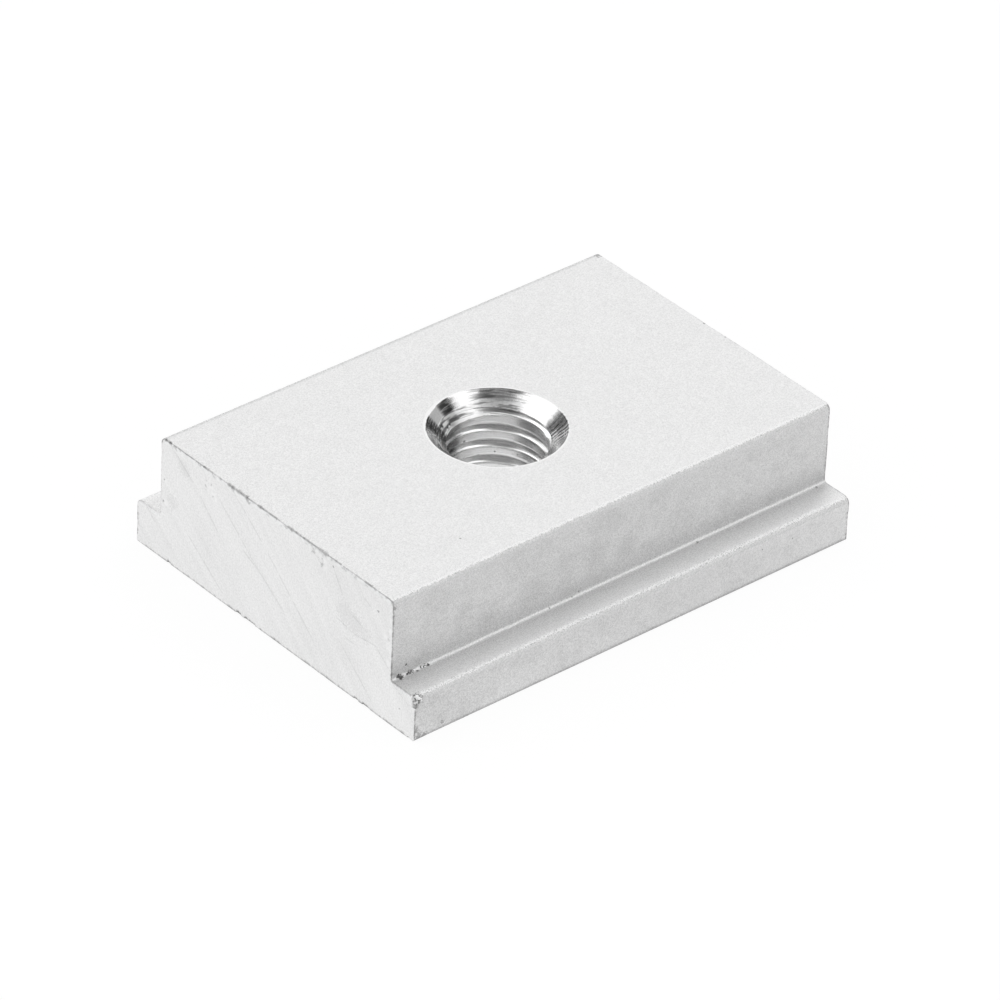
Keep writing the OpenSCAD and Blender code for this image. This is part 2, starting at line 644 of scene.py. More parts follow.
class Value:
    """A number or a vector that a tree's nodes work out. Numbers have the usual arithmetic."""

    def __init__(self, tree, socket):
        self.tree = tree
        self.socket = socket

    def maths(self, operation, *values):
        return maths(self.tree, operation, self, *values)

    __add__ = partialmethod(maths, "ADD")
    __sub__ = partialmethod(maths, "SUBTRACT")
    __mul__ = partialmethod(maths, "MULTIPLY")
    __truediv__ = partialmethod(maths, "DIVIDE")
    __abs__ = partialmethod(maths, "ABSOLUTE")
    __gt__ = partialmethod(maths, "GREATER_THAN")

    def __rsub__(self, other):
        return maths(self.tree, "SUBTRACT", other, self)

    def vector(self, operation, *values):
        """A Vector Math node's result, with this vector first."""
        inputs = dict(zip((0, "Scale" if operation == "SCALE" else 1), (self, *values)))
        output = "Value" if operation in ("LENGTH", "DOT_PRODUCT") else "Vector"
        return work_out(self.tree, "VectorMath", output, inputs, operation=operation)

    def parts(self):
        """The vector's X, Y and Z."""
        node = add_node(self.tree, "SeparateXYZ", {"Vector": self})
        return [Value(self.tree, output) for output in node.outputs]

    def fade(self, start, end):
        """A smooth step from 0 to 1 while the number goes from start to end."""
        inputs = {"Value": self, "From Min": start, "From Max": end}
        step = "SMOOTHSTEP"
        return work_out(self.tree, "MapRange", "Result", inputs, interpolation_type=step)

    def between(self, first, second):
        """What lies between two numbers, this number being the share of the way."""
        inputs = {0: self, 2: first, 3: second}
        return work_out(self.tree, "Mix", "Result", inputs, data_type="FLOAT")

    def noise(self, scale, detail=2, roughness=0.5):
        """Smooth noise from 0 to 1 at this place, with scale bumps a millimetre."""
        inputs = {"Vector": self, "Scale": scale, "Detail": detail, "Roughness": roughness}
        return work_out(self.tree, "TexNoise", "Fac", inputs)


def largest(values):
    """The largest of several values."""
    most = None
    for value in values:
        most = most.maths("MAXIMUM", value) if most else value
    return most


def joined(tree, **parts):
    """A vector with some of its parts, X, Y or Z, given."""
    return work_out(tree, "CombineXYZ", "Vector", parts)


def blasted_grain(place, dimples):
    """Bead blasting: fine dimples, with the odd one that glints."""
    fine = place.vector("SCALE", dimples)
    dimple = fine.noise(1, 3, 0.7)
    speck = fine.noise(2.1, 1, 0.5)
    return {"Height": dimple + speck, "Shade": dimple - 0.5, "Glint": speck.fade(0.66, 0.76)}


def clouds(place, patches):
    """Soft uneven patches, such as smudges and stains."""
    return {"Mask": place.vector("SCALE", patches).noise(1, 3, 0.6)}


def scratch(place, start, end, width):
    """A straight mark from one place to another, which fades out over its width."""
    offset = place.vector("SUBTRACT", start)
    run = end.vector("SUBTRACT", start)
    reach = offset.vector("DOT_PRODUCT", run)
    share = maths(place.tree, "DIVIDE", reach, run.vector("DOT_PRODUCT", run), clamp=True)
    gap = offset.vector("SUBTRACT", run.vector("SCALE", share)).vector("LENGTH")
    mask = maths(place.tree, "SUBTRACT", 1, gap / width, clamp=True)
    # Thinner towards both ends
    taper = share * (1 - share) * 4
    return {"Mask": mask * taper.maths("POWER", 0.3)}


def spot(place, centre, radius, ragged):
    """A spot with a ragged outline."""
    gap = place.vector("SUBTRACT", centre).vector("LENGTH") / radius
    return {"Mask": ((place.noise(9, 2, 0.6) - 0.5) * ragged * 4 + gap).fade(1.15, 0.75)}


# The saw's blade turned about a point far off the end, given across the nut and upwards
SAW_CENTRE = (44, -40)


def saw_marks(place):
    """Saw marks: arcs about the blade's centre, of uneven depth."""
    _, across, up = place.vector("SUBTRACT", (0, *SAW_CENTRE)).parts()
    radius = (across * across + up * up).maths("SQRT")
    arc_length = up.maths("ARCTAN2", across) * math.hypot(*SAW_CENTRE)
    fine, broad = [
        joined(place.tree, X=radius / spacing, Y=arc_length / length, Z=seed).noise(1, 1, 0.5)
        for spacing, length, seed in ((0.16, 3.5, 0), (0.55, 9, 50))
    ]
    height = fine * 0.35 + broad
    return {"Height": height, "Shade": height - 0.67}


def turning_marks(place, streaks, breaks):
    """Marks of a tool that turned about the hole's axis: streaks round the axis that change
    with the height and the distance from the axis."""
    offset = place.vector("MULTIPLY", (1, 1, 0)).vector("SUBTRACT", (HOLE_X, HOLE_Y, 0))
    turn = offset.vector("NORMALIZE").vector("SCALE", breaks / 6)
    level = place.parts()[2]
    reach = offset.vector("LENGTH")
    inputs = {
        "Vector": turn.vector("ADD", joined(place.tree, Z=level * streaks)),
        "W": reach * streaks,
        "Scale": 1,
        "Detail": 2,
        "Roughness": 0.6,
    }
    height = work_out(place.tree, "TexNoise", "Fac", inputs, noise_dimensions="4D")
    across, up, _ = offset.parts()
    angle = up.maths("ARCTAN2", across)
    return {"Height": height, "Turn": angle, "Reach": reach, "Level": level}


# What the finishes share: each effect with its inputs and their values
EFFECTS = {
    blasted_grain: {"Place": (0, 0, 0), "Dimples per mm": 9},
    clouds: {"Place": (0, 0, 0), "Patches per mm": 0.4},
    scratch: {"Place": (0, 0, 0), "From": (0, 0, 0), "To": (1, 0, 0), "Width": 0.1},
    spot: {"Place": (0, 0, 0), "Centre": (0, 0, 0), "Radius": 0.1, "Ragged": 0.5},
    saw_marks: {"Place": (0, 0, 0)},
    turning_marks: {"Place": (0, 0, 0), "Streaks per mm": 8, "Breaks a turn": 6},
}


def make_group(effect, inputs):
    """The node group of an effect. Its inputs may be numbers or vectors, and its outputs
    are numbers."""
    group = bpy.data.node_groups.new(effect.__name__.replace("_", " "), "ShaderNodeTree")
    for label, value in inputs.items():
        kind = "NodeSocketFloat" if isinstance(value, (int, float)) else "NodeSocketVector"
        socket = group.interface.new_socket(name=label, in_out="INPUT", socket_type=kind)
        socket.default_value = value
    entry = group.nodes.new("NodeGroupInput").outputs
    results = effect(*(Value(group, entry[label]) for label in inputs))
    for label in results:
        group.interface.new_socket(name=label, in_out="OUTPUT", socket_type="NodeSocketFloat")
    leave = group.nodes.new("NodeGroupOutput").inputs
    for label, value in results.items():
        feed(leave[label], value)
    return group


class Metal:
    """A bare aluminium finish in the making: its shader, the place on the nut in
    millimetres, how far the metal faces up, and the groups of the effects."""

    def __init__(self, name, groups):
        self.groups = groups
        self.material = bpy.data.materials.new(name)
        self.material.use_nodes = True
        self.tree = self.material.node_tree
        self.place = work_out(self.tree, "TexCoord", "Object").vector("SCALE", 1 / MM)
        self.x, self.y, self.z = self.place.parts()
        self.facing = work_out(self.tree, "NewGeometry", "Normal").parts()[2]

    def use(self, effect, **values):
        """What an effect gives out for this place and, by their labels, its other values."""
        inputs = {label.replace("_", " "): value for label, value in values.items()}
        inputs["Place"] = self.place
        node = add_node(self.tree, "Group", node_tree=self.groups[effect])
        for label, value in inputs.items():
            feed(node.inputs[label], value)
        return {output.name: Value(self.tree, output) for output in node.outputs}

    def spots(self, marks, ragged=0.5):
        """One mask for several spots, each given as its place and radius in millimetres."""
        return largest(
            self.use(spot, Centre=(x, y, z), Radius=radius, Ragged=ragged)["Mask"]
            for x, y, z, radius in marks
        )

    def scratch(self, start, end, width):
        """The mask of a straight scratch."""
        return self.use(scratch, From=start, To=end, Width=width)["Mask"]

    def finish(self, tone, roughness, *bumps):
        """The material, with a grey tone that painted crevice shade and swarf darken, its
        roughness,
        and bumps one on the other: pairs of a height and of how high, in mm, its 1 stands."""
        grime = work_out(self.tree, "Attribute", "Fac", attribute_name="grime")
        tone = maths(self.tree, "MULTIPLY", grime, 1, clamp=True).between(tone, SHADE_AND_SWARF_TONE)
        channels = dict.fromkeys(("Red", "Green", "Blue"), tone)
        shader = self.tree.nodes["Principled BSDF"].inputs
        feed(shader["Base Color"], work_out(self.tree, "CombineColor", "Color", channels))
        feed(shader["Metallic"], 1)
        feed(shader["Roughness"], roughness)
        lower = {}
        for height, rise in bumps:
            inputs = {"Distance": rise * MM, "Height": height, **lower}
            lower = {"Normal": work_out(self.tree, "Bump", "Normal", inputs)}
        feed(shader["Normal"], lower["Normal"])
        return self.material


# The tone of the painted crevice shade and swarf along the ends' edges
SHADE_AND_SWARF_TONE = 0.18
METAL_TONE = 0.845
# Painted light: the top is lighter than the other faces
TOP_TONE = 0.88
BLASTED_ROUGHNESS = 0.5
SAWN_ROUGHNESS = 0.45

# Painted shade in the right-hand corner between the block and the flange, where the block keeps
# light off: how dark it is, and how far it reaches out over the flange and up the block
CORNER_SHADE = 0.22
CORNER_REACH = (1.35, 2.1)


def corner_shade(metal):
    """How much of the tone is left in the corner between the block and the flange."""
    out = (abs(metal.y) - BLOCK_WIDTH / 2) / CORNER_REACH[0]
    up = (metal.z - FLANGE_THICKNESS) / CORNER_REACH[1]
    away = (up * up + out * out).maths("SQRT").fade(-0.2, 1)
    return largest([away, metal.y.fade(0, 1)]).between(1 - CORNER_SHADE, 1)


# The painted highlight round the countersink, a thin bright line on its rim
RIM_HIGHLIGHT_WIDTH = 0.07


def rim_highlight(metal):
    """Where the rim's painted highlight lies."""
    centre = (HOLE_X + COUNTERSINK_RUN_OFF[0], HOLE_Y + COUNTERSINK_RUN_OFF[1], 0)
    flat = metal.place.vector("SUBTRACT", centre).vector("MULTIPLY", (1, 1, 0))
    away = flat.vector("LENGTH") - COUNTERSINK_RADIUS
    return away.fade(2 * RIM_HIGHLIGHT_WIDTH, RIM_HIGHLIGHT_WIDTH) * (metal.z > NUT_HEIGHT / 2)


# Small dark pits in the blasted faces: place and radius
PITS = [
    (-8.65, -7.16, 7.6, 0.05), (5.77, -9.62, 2.7, 0.07), (8.82, -11.4, 1.96, 0.05),
    (10.97, -11.4, 1.77, 0.05), (14.26, -9.6, 2.7, 0.07), (-2.36, -9.45, 2.91, 0.05),
    (-2.83, -9.5, 2.8, 0.06), (-4.4, -9.5, 2.77, 0.06), (14.93, 0.51, 7.6, 0.07),
    (14.93, -1.2, 7.6, 0.06),
]
# Dark spots at the foot of the flange's side, and painted shade under burrs on the block's corners
DARK_SPOTS = [
    (-14.85, -11.4, 0.7, 0.16), (-14.7, -11.4, 0.2, 0.25), (-14.3, -11.4, 0.1, 0.2),
    (-13.1, -11.4, 0.45, 0.1), (-14.95, -9.45, 7.15, 0.15), (14.95, -9.4, 7.5, 0.18),
    (14.95, 9.2, 7.55, 0.3),
]
# Lumps of swarf at the near end: in the corner, and a burr on the flange
LUMPS = [
    (-14.45, -9.55, 2.8, 0.16), (-13.98, -9.55, 2.76, 0.07), (-13.72, -9.52, 2.74, 0.15),
    (-13.35, -9.62, 2.72, 0.07), (-14, -9.45, 3.3, 0.06), (-13.05, -9.52, 2.76, 0.06),
    (-12.82, -9.54, 2.72, 0.11), (-12.58, -9.55, 2.72, 0.07),
]
# The burr is mottled with a painted highlight and a painted shadow
BURR = (-14.8, -11.3, 2.5, 0.3)
# Smudges on the block's side
SMUDGES = [
    (-10.26, -9.45, 5.07, 0.5), (11.26, -9.45, 5.12, 0.35), (-8.6, -9.45, 4.2, 0.8),
    (-6, -9.45, 4.4, 0.9), (-4.9, -9.45, 4.6, 0.8), (-3.4, -9.45, 4.7, 1),
    (-1.2, -9.45, 4.8, 0.9), (0.6, -9.45, 4.5, 0.8),
]
# Faint streaks on the block's side and on the flange: from, to and how wide
STREAKS = [
    ((-10.3, -9.45, 4.85), (-9.2, -9.45, 5.05), 0.12),
    ((-9.4, -9.45, 4.9), (-8.5, -9.45, 5.0), 0.15),
    ((-8.4, -9.45, 4.55), (-6.6, -9.45, 4.85), 0.16),
    ((-1.6, -9.85, 2.7), (0.2, -10.1, 2.7), 0.15),
]
# The painted shade of the softened edges along the bar
EDGE_TONE = 0.74
# The block's left edge has more painted shade, from its flat top on, between these distances across
LEFT_EDGE = (8.95, 9.2)
LEFT_EDGE_TONE = 0.72
# Beside the softened edges the faces have a painted highlight: the flange, and the block
NEAR_EDGE_TONES = (0.91, 0.98)
# The painted highlight along the root fillet
ROOT_LINE_TONE = 0.83
# How much stronger the grain and its painted glints are on the sides, and on the edges, than on the
# top
SIDE_GRAIN = 1.3
EDGE_GRAIN = 3.4
# Painted light: the flange grows brighter towards its outer edge, over these distances from the
# block
WING_TONE = 0.92
WING_REACH = (0.9, 1.75)
# Painted light: the flange's side grows brighter along the bar, by this share a millimetre.
# Painted shade dulls it at the foot, and more so where it turns under.
SIDE_GROWTH = 0.006
FOOT_TONE = 0.78
UNDER_TONE = 0.4


def bar_tone(metal):
    """The tone of the clean bar, with painted light and shade by the way the metal faces."""
    tone = metal.z.fade(NUT_HEIGHT - 0.2, NUT_HEIGHT).between(METAL_TONE, TOP_TONE)
    out = abs(metal.y) - BLOCK_WIDTH / 2
    tone = (out.fade(*WING_REACH) * metal.facing.fade(0.5, 0.9)).between(tone, WING_TONE)
    under = metal.facing.fade(-0.03, -0.3) * metal.z.fade(0, 0.01)
    side = (metal.x * SIDE_GROWTH + 1) * metal.z.fade(0.08, 0.25).between(FOOT_TONE, 1)
    side = side * under.between(1, UNDER_TONE)
    above_side = metal.z > FLANGE_THICKNESS - FLANGE_EDGE_RADIUS / 2
    return tone * above_side.between(side, 1)


def blasted_metal(groups):
    """The bar's faces: satin from bead blasting, smudged a little on its sides, with painted light
    and shade.
    """
    metal = Metal("blasted aluminium", groups)
    fine = metal.use(blasted_grain, Dimples_per_mm=14)
    smudge = metal.use(clouds, Patches_per_mm=0.7)["Mask"]
    level = abs(metal.facing)
    upright = 1 - level
    # Not the root fillet, which is far below the block's edges and well inside the flange's
    outer = largest([abs(metal.y) > BLOCK_WIDTH / 2 + 0.5, metal.z > NUT_HEIGHT - 1])
    on_edge = upright.fade(0.09, 0.25) * level.fade(0.15, 0.35) * outer
    near_edge = upright.fade(0.003, 0.05) * level.fade(0.65, 0.85) * outer
    on_left = metal.y.fade(*LEFT_EDGE) * level.fade(0.3, 0.6) * (metal.z > NUT_HEIGHT - 1)
    wobble = metal.place.noise(1.3) * 0.4 - 0.2
    in_root = (upright + wobble).fade(0.1, 0.2) * (level - wobble).fade(0.42, 0.55)
    in_root = in_root * (1 - outer)

    tone = bar_tone(metal) - smudge.fade(0.42, 0.7) * upright.between(0.012, 0.06)
    # Painted highlight beside the softened edges, and painted shade on them
    tone = near_edge.between(tone, (metal.z > NUT_HEIGHT / 2).between(*NEAR_EDGE_TONES))
    tone = on_edge.between(tone, EDGE_TONE)
    # Painted shade on the block's left edge and in the right-hand corner
    tone = on_left.between(tone, LEFT_EDGE_TONE) * corner_shade(metal)
    # The painted highlight along the root fillet
    tone = in_root.between(tone, ROOT_LINE_TONE)
    tone = (metal.spots(SMUDGES, 0.8) * 0.1).between(tone, 0.3)
    on_top = metal.z.fade(NUT_HEIGHT - 0.2, NUT_HEIGHT)
    strength = near_edge.between(on_top.between(SIDE_GRAIN, 1), EDGE_GRAIN)
    # The grain, with painted glints on some specks and painted sparkle beside the edges
    tone = fine["Shade"] * (strength * 0.62) + tone
    tone = fine["Glint"] * (strength * 0.16) + tone
    tone = (near_edge * fine["Shade"].fade(0.04, 0.12)).between(tone, 1)
    tone = (metal.spots(PITS) * 0.6).between(tone, 0.15)
    # Dark spots, with painted shade on the block's corners
    tone = (metal.spots(DARK_SPOTS, 1) * 0.5).between(tone, 0.2)
    for streak in STREAKS:
        tone = (metal.scratch(*streak) * 0.12).between(tone, 0.3)
    lumps = metal.spots(LUMPS, 0.8)
    burr = metal.spots([BURR], 0.8)
    mottle = metal.place.noise(5, 2, 0.6)
    tone = (lumps * 0.9).between(tone, mottle.fade(0.52, 0.62).between(0.06, 0.8))
    # The burr's painted highlight and painted shadow, in a mottle
    tone = (burr * 0.9).between(tone, mottle.fade(0.42, 0.5).between(0.1, 1))
    # The painted highlight round the countersink's rim
    tone = rim_highlight(metal).between(tone, 0.97)
    bumps = (fine["Height"], 0.009), (lumps, 0.08), (burr, 0.08)
    return metal.finish(tone, BLASTED_ROUGHNESS, *bumps)


# Single deeper scratches on the near end: how wide, then the points (Y, Z) they run through
SAW_SCRATCHES = [
    (0.07, (8.32, 7.25), (6.71, 6.1)),
    (0.08, (3.53, 7.45), (0.6, 5.15), (-3.4, 1.6)),
    (0.08, (4.59, 6.27), (1.67, 3.9), (-0.93, 2.12)),
    (0.07, (2.6, 4.2), (1.0, 3.45)),
    (0.06, (6.14, 5.63), (4.62, 4.11)),
    (0.07, (7.38, 2.86), (4.16, 0.55)),
    (0.06, (-4.7, 7.1), (-5.5, 5.8)),
    (0.06, (-5.1, 4.2), (-6.4, 3.95), (-8.2, 4.15), (-9.5, 3.15)),
    (0.05, (-5.8, 3.35), (-6.9, 3.3)),
    (0.05, (-6.1, 5.1), (-7.5, 4.6)),
    (0.05, (-7.2, 6.6), (-7.85, 6.25)),
    (0.06, (10.75, 2.75), (9.85, 1.95)),
    (0.05, (-5.2, 3.0), (-8.0, 0.6)),
    (0.05, (-9.6, 2.6), (-11.1, 1.9)),
]
# Darker patches, torn spots and small dark spots on the near end, each as Y, Z and radius
END_PATCHES = [
    (-5.7, 4.8, 0.7), (-6.5, 4.6, 0.7), (-7.4, 4.4, 0.45), (8.5, 4.0, 0.5), (7.5, 6.6, 0.5),
]
TORN_SPOTS = [
    (5.5, 6.65, 0.42), (5.0, 6.2, 0.3), (2.2, 7.4, 0.25), (-3.8, 6.95, 0.4), (-3.0, 7.2, 0.25),
    (-9.1, 5.3, 0.3), (9.1, 3.6, 0.3),
]
END_SPOTS = [
    (-8.31, 6.38, 0.08), (-4.68, 7.15, 0.07), (9.15, 5.06, 0.05), (9.2, 3.7, 0.07),
    (9.44, 2.88, 0.06), (-10.2, 1.4, 0.05), (-11.25, 2.4, 0.08),
]


def on_near_end(marks):
    """Spots that are given by Y, Z and radius, with the near end's X."""
    return [(NEAR_END, *mark) for mark in marks]


def sawn_metal(groups):
    """The sawn ends: arcs left by the blade's teeth under a light blasting, and scratches."""
    metal = Metal("sawn aluminium", groups)
    fine = metal.use(blasted_grain, Dimples_per_mm=9)
    patch = metal.use(clouds, Patches_per_mm=0.3)["Mask"]
    marks = metal.use(saw_marks)
    cut = largest(
        metal.scratch((NEAR_END, *start), (NEAR_END, *end), width)
        for width, *points in SAW_SCRATCHES
        for start, end in zip(points, points[1:])
    )
    # The scratches are broken where the blasting has closed them
    cut = cut * metal.place.noise(1.6, 3, 0.6).fade(0.32, 0.5)
    worn_off = metal.place.noise(2.2, 4, 0.7).fade(0.55, 0.72)
    tone = METAL_TONE + 0.035 - (worn_off * 0.035 + patch.fade(0.45, 0.7) * 0.02)
    tone = fine["Shade"] * 0.42 + tone
    tone = marks["Shade"] * 0.1 + tone
    tone = (metal.spots(on_near_end(END_PATCHES), 0.6) * 0.08).between(tone, 0.3)
    tone = (cut * 0.21).between(tone, 0.2)
    mottle = metal.place.noise(4.5, 2, 0.6)
    # Torn metal, darker in a mottle; along the top edge the darkening is also painted crevice shade
    torn = metal.spots(on_near_end(TORN_SPOTS), 0.6)
    torn = largest([torn, metal.z.fade(7.25, 7.45) * 0.8])
    tone = (torn * mottle.fade(0.54, 0.62) * 0.4).between(tone, 0.2)
    # Painted highlights: white flecks on the torn metal and beside the block's right edge
    beside = metal.y.fade(-8.95, -9.2) * metal.z.fade(2.8, 3)
    bright = largest([torn, beside]) * mottle.fade(0.46, 0.4)
    tone = (bright * 0.55).between(tone, 1)
    tone = (metal.spots(on_near_end(END_SPOTS)) * 0.5).between(tone, 0.15)
    bumps = (marks["Height"], 0.006), (fine["Height"], 0.005), (cut * -1, 0.012)
    return metal.finish(tone, SAWN_ROUGHNESS, *bumps)


def near_heading(turn, heading, reach, softness):
    """Where a turn round the hole, in radians, is within a reach of a heading, in degrees."""
    outer = math.cos(math.radians(reach + softness))
    inner = math.cos(math.radians(max(0, reach - softness)))
    return (turn - math.radians(heading)).maths("COSINE").fade(outer, inner)


# Stretches of the hole's wall are given by the heading of their middle, how far they reach
# either way and how softly they end, in degrees. On the right of the countersink the tool
# has jumped on its way round, leaving marks as close as this many in a turn.
CHATTER = (-33, 13, 7)
CHATTER_MARKS = 66
# On the left the tap has thrown up a collar of torn metal, out to this distance from the
# axis, and by the bulge further out towards the bulge's heading
COLLAR = (118, 40, 10)
COLLAR_RADIUS = 2.92
COLLAR_BULGE = 0.24
COLLAR_BULGE_HEADING = 80
# Black spots at the left end of the collar
COLLAR_SPOTS = (139, 8, 6)
# Bits of black swarf under the collar: heading, height, distance from the axis and radius
SWARF = [
    (122, 6.9, 3.02, 0.13), (116, 6.68, 2.85, 0.1), (110, 6.7, 2.83, 0.08),
    (119, 6.78, 2.93, 0.09),
]
# Painted dark reflections on the left, and their tones
DARK_REFLECTIONS = [((102, 7, 3), 0.12), ((134, 7, 3), 0.05)]
# The dull patch in the middle of the far side: rougher, with a painted dark reflection, mottled
DULL_PATCH = (47, 24, 8)
# The painted highlight where the countersink meets the bore
INNER_EDGE = (20, 85, 15)
INNER_EDGE_WIDTH = 0.07
# The roughness where the tool has cut clean, and where the metal is dull or torn
COUNTERSUNK_ROUGHNESS = (0.2, 0.42)


def on_wall(marks):
    """Spots that are given by heading, height, distance from the axis and radius."""
    spots = []
    for heading, height, reach, radius in marks:
        out = heading_vector(heading) * reach
        spots.append((HOLE_X + out.x, HOLE_Y + out.y, height, radius))
    return spots


def countersunk_metal(groups):
    """The countersink: bright, with rings and chatter from its tool, a torn collar, and painted
    light and shade.
    """
    metal = Metal("countersunk aluminium", groups)
    rings = metal.use(turning_marks, Streaks_per_mm=9, Breaks_a_turn=7)
    waves = metal.use(turning_marks, Streaks_per_mm=2.2, Breaks_a_turn=16)["Height"]
    torn = metal.use(turning_marks, Streaks_per_mm=8, Breaks_a_turn=16)["Height"]
    fine = metal.use(blasted_grain, Dimples_per_mm=7)
    turn, reach = rings["Turn"], rings["Reach"]

    jump = (waves * 5 + turn * CHATTER_MARKS).maths("SINE")
    chattered = near_heading(turn, *CHATTER)
    bulge = (turn - math.radians(COLLAR_BULGE_HEADING)).maths("COSINE") * COLLAR_BULGE
    edge = waves * 0.1 + (bulge + COLLAR_RADIUS)
    collar = near_heading(turn, *COLLAR) * (reach - edge).fade(0.015, -0.015)
    inner = (reach - CREST_RADIUS).fade(1.5 * INNER_EDGE_WIDTH, INNER_EDGE_WIDTH)
    inner = inner * near_heading(turn, *INNER_EDGE)

    tone = fine["Shade"] * 0.25 + (rings["Height"] * 0.06 + 0.87)
    # The torn collar is darkened in a mottle: torn metal, with painted shade in its tears
    tone = (collar * torn.fade(0.6, 0.42) * 0.9).between(tone, 0.15)
    # The hollows of the chatter marks have painted shade
    hollow = jump.fade(0.3, 0.8) * chattered * torn.fade(0.4, 0.55)
    tone = (hollow * 0.85).between(tone, 0.1)
    # The dull patch: a painted dark reflection with streaks and bright flecks
    dull = near_heading(turn, *DULL_PATCH)
    streak = dull * rings["Height"].fade(0.52, 0.62) * reach.fade(3.2, 3.35)
    tone = (streak * 0.6).between(tone, 0.35)
    tone = (dull * (fine["Shade"] * 2 + 0.15)).between(tone, 0.45)
    tone = (dull * torn.fade(0.5, 0.62) * 0.75).between(tone, 0.12)
    tone = (dull * torn.fade(0.4, 0.3) * 0.8).between(tone, 0.97)
    # Painted dark reflections, mottled by the torn metal
    for stretch, dark in DARK_REFLECTIONS:
        dark_reflection = near_heading(turn, *stretch) * (torn.fade(0.6, 0.42) * 0.7 + 0.3)
        tone = dark_reflection.between(tone, dark)
    spots = near_heading(turn, *COLLAR_SPOTS) * fine["Height"].fade(1.02, 0.94)
    tone = (spots * 0.9).between(tone, 0.06)
    # The painted highlight where the countersink meets the bore
    tone = inner.between(tone, 0.97)
    tone = (metal.spots(on_wall(SWARF), 1.2) * 0.95).between(tone, 0.04)
    low = reach.fade(3.4, 3.2) * (dull * 0.8)
    return metal.finish(
        tone,
        largest([inner, collar, low]).between(*COUNTERSUNK_ROUGHNESS),
        (rings["Height"], 0.012),
        (waves, 0.025),
        (jump * chattered, 0.004),
        (collar * torn, 0.04),
        (fine["Height"], 0.0015),
    )


# Pits in the thread's wall, each as heading, height, distance from the axis and radius
THREAD_PITS = [
    (87.7, 5.21, 2.67, 0.07), (68, 4.08, 2.7, 0.05), (49.4, 4.24, 2.72, 0.045),
    (23.4, 4.25, 2.75, 0.04), (39.7, 6.74, 2.95, 0.05),
]
# The part of the wall that faces the far side's dull patch has painted light on its crests,
# elsewhere on its flanks and roots
BRIGHT_WALL = (50, 20, 9)
# The darker part of the wall, where it fades out towards the top, and the part where the
# rims of the crests get less of their painted highlight
DARK_WALL = (130, 34, 6)
DARK_WALL_TOP = (6.6, 6.45)
DULL_RIMS = (130, 40, 4)
# Painted shade in the first groove under the countersink, on the far side, and where it starts
FIRST_GROOVE = (47, 22, 8)
FIRST_GROOVE_START = (6.58, 6.68)
# The countersink's tool has rolled the topmost crest over, above this height
ROLLED_CREST = (35, 50, 8)
ROLLED_CREST_LEVEL = 6.4
TAPPED_ROUGHNESS = 0.26


def tapped_metal(groups):
    """The thread: satin, with streaks along its turns where the tap has dragged, and painted light
    and shade.
    """
    metal = Metal("tapped aluminium", groups)
    streaks = metal.use(turning_marks, Streaks_per_mm=8, Breaks_a_turn=9)
    broad = metal.use(turning_marks, Streaks_per_mm=2.5, Breaks_a_turn=8)["Height"]
    fine, turn = streaks["Height"], streaks["Turn"]
    tone = broad * 0.2 + (fine * 0.55 + 0.515)
    level = streaks["Level"]
    below_top = level.fade(*DARK_WALL_TOP)
    # Darker on the left of the wall, below its top
    darker_wall = near_heading(turn, *DARK_WALL) * below_top
    tone = (darker_wall * (broad.fade(0.65, 0.4) * 0.45 + 0.4)).between(tone, 0.2)
    beyond = streaks["Reach"] - CREST_RADIUS
    crest = beyond.fade(0.09, 0.03)
    middle = near_heading(turn, *BRIGHT_WALL)
    # Painted light on the crests in the middle of the far side, and on the flanks and roots
    # elsewhere
    tone = tone * middle.between(crest.between(1.15, 1), crest.between(0.98, 1.1))
    groove = near_heading(turn, *FIRST_GROOVE) * level.fade(*FIRST_GROOVE_START)
    # Painted shade in the first groove, streaked
    tone = tone * groove.between(1, fine * -1.2 + 1.15)
    dull = near_heading(turn, *DULL_RIMS) * below_top
    # Painted highlight on the upward-facing rims of the crests
    rim = metal.facing.fade(0.15, 0.45) * crest * dull.between(1, 0.15)
    tone = (rim * 0.7).between(tone, 1)
    # Painted shade on the faces that look down
    below = metal.facing.fade(-0.05, -0.3) * middle.between(0.1, 0.4)
    tone = below.between(tone, 0.25)
    tone = (metal.spots(on_wall(THREAD_PITS), 0.2) * 0.85).between(tone, 0.05)
    tone = (metal.spots(on_wall(SWARF), 1.2) * 0.95).between(tone, 0.04)
    rolled = (level > ROLLED_CREST_LEVEL) * near_heading(turn, *ROLLED_CREST)
    rolled = rolled * beyond.fade(0, 0.18)
    return metal.finish(tone, TAPPED_ROUGHNESS, (fine, 0.012), (rolled, 0.1))


def add_object(data):
    """An object in the scene, with the name of its data."""
    thing = bpy.data.objects.new(data.name, data)
    bpy.context.scene.collection.objects.link(thing)
    return thing


def make_nut():
    """The nut's piece, in the CAD solid's place."""
    mesh = build_nut_mesh()
    for v in mesh.verts:
        v.co *= MM
    data = bpy.data.meshes.new("t_slot_nut_body")
    mesh.to_mesh(data)
    mesh.free()
    groups = {effect: make_group(effect, inputs) for effect, inputs in EFFECTS.items()}
    for metal in (blasted_metal, sawn_metal, countersunk_metal, tapped_metal):
        data.materials.append(metal(groups))
    data.shade_smooth()
    data.set_sharp_from_angle(angle=math.radians(SHARP_ANGLE))
    nut = add_object(data)
    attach(nut, "root")
    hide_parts(NODE)


# The camera looks down one corner of the nut through a long lens
CAMERA_HEADING = 48.05
CAMERA_FALL = 34.08
CAMERA_ROLL = 2.68
CAMERA_TARGET = (-1.0, -1.54, 3.8)
CAMERA_DISTANCE = 381.8
LENS = 261.9
SENSOR = 36


